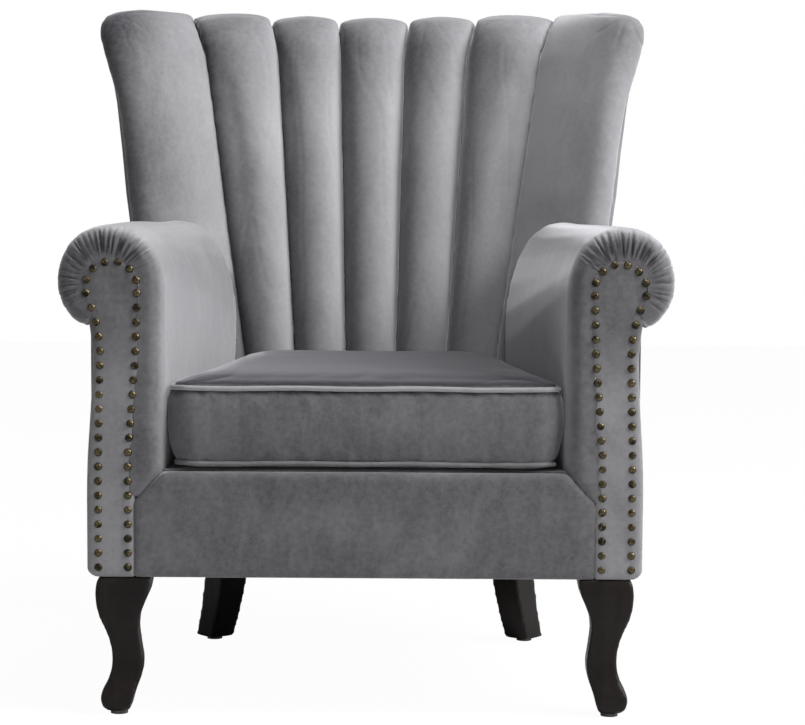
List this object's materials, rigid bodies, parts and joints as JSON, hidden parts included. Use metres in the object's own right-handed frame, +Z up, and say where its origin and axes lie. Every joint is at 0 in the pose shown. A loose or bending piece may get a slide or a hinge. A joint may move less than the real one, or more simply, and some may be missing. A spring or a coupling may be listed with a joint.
{
  "type": "wingback chair",
  "caption": "Grey velvet wingback armchair with a channelled inside back, flared wings, rolled arms with nailed keyhole facings, loose box cushion and dark cabriole legs",
  "frame": {"origin": "on the floor, at the middle of the chair's width and depth", "axes": "+X is a front viewer's right, -Y is the way the chair faces, +Z is up"},
  "size_m": [0.778, 0.74, 0.916],
  "materials": {
    "velvet": "soft grey velvet with a light nap",
    "frame_wood": "planed hardwood, unfinished",
    "leg_wood": "dark espresso stain, satin",
    "jute_webbing": "woven jute",
    "steel": "bright zinc",
    "nail_brass": "antique brass, polished domes",
    "felt_pad": "pressed cotton felt",
    "black_lining": "thin woven lining",
    "foam": "cushion foam",
    "zip_tape": "woven tape with moulded teeth",
    "glide_plastic": "moulded nylon"
  },
  "bodies": {
    "chair": {"front_rail": "frame_wood", "back_rail": "frame_wood", "left_side_rail": "frame_wood", "right_side_rail": "frame_wood", "corner_blocks": "frame_wood", "left_arm_post": "frame_wood", "right_arm_post": "frame_wood", "left_arm_rail": "frame_wood", "right_arm_rail": "frame_wood", "left_back_post": "frame_wood", "right_back_post": "frame_wood", "back_top_rail": "frame_wood", "back_lower_rail": "frame_wood", "left_wing_board": "frame_wood", "right_wing_board": "frame_wood", "back_webbing": "jute_webbing", "seat_springs": "steel", "spring_clips": "steel", "deck_pad": "felt_pad", "deck_cover": "black_lining", "front_border": "velvet", "left_arm_pad": "velvet", "right_arm_pad": "velvet", "left_arm_facing": "velvet", "right_arm_facing": "velvet", "left_arm_nails": "nail_brass", "right_arm_nails": "nail_brass", "back_channel_1": "velvet", "back_channel_2": "velvet", "back_channel_3": "velvet", "back_channel_4": "velvet", "back_channel_5": "velvet", "left_wing_pad": "velvet", "right_wing_pad": "velvet", "outside_back": "velvet", "left_outside_arm": "velvet", "right_outside_arm": "velvet", "left_outside_wing": "velvet", "right_outside_wing": "velvet", "front_left_leg": "leg_wood", "front_right_leg": "leg_wood", "rear_left_leg": "leg_wood", "rear_right_leg": "leg_wood", "leg_bolts": "steel", "leg_tee_nuts": "steel", "leg_glides": "glide_plastic", "dust_cover": "black_lining"},
    "seat_cushion": {"cushion_cover": "velvet", "cushion_core": "foam", "cushion_top_piping": "velvet", "cushion_bottom_piping": "velvet", "cushion_zip": "zip_tape"},
    "zip_slider": {"zip_slider": "steel"}
  },
  "joints": [
    {"name": "cushion_lift", "type": "slide", "parent": "chair", "child": "seat_cushion", "axis": [0, 0, 1], "range_m": [0, 0.6]},
    {"name": "zip_run", "type": "slide", "parent": "seat_cushion", "child": "zip_slider", "axis": [1, 0, 0], "range_m": [0, 0.3]}
  ]
}
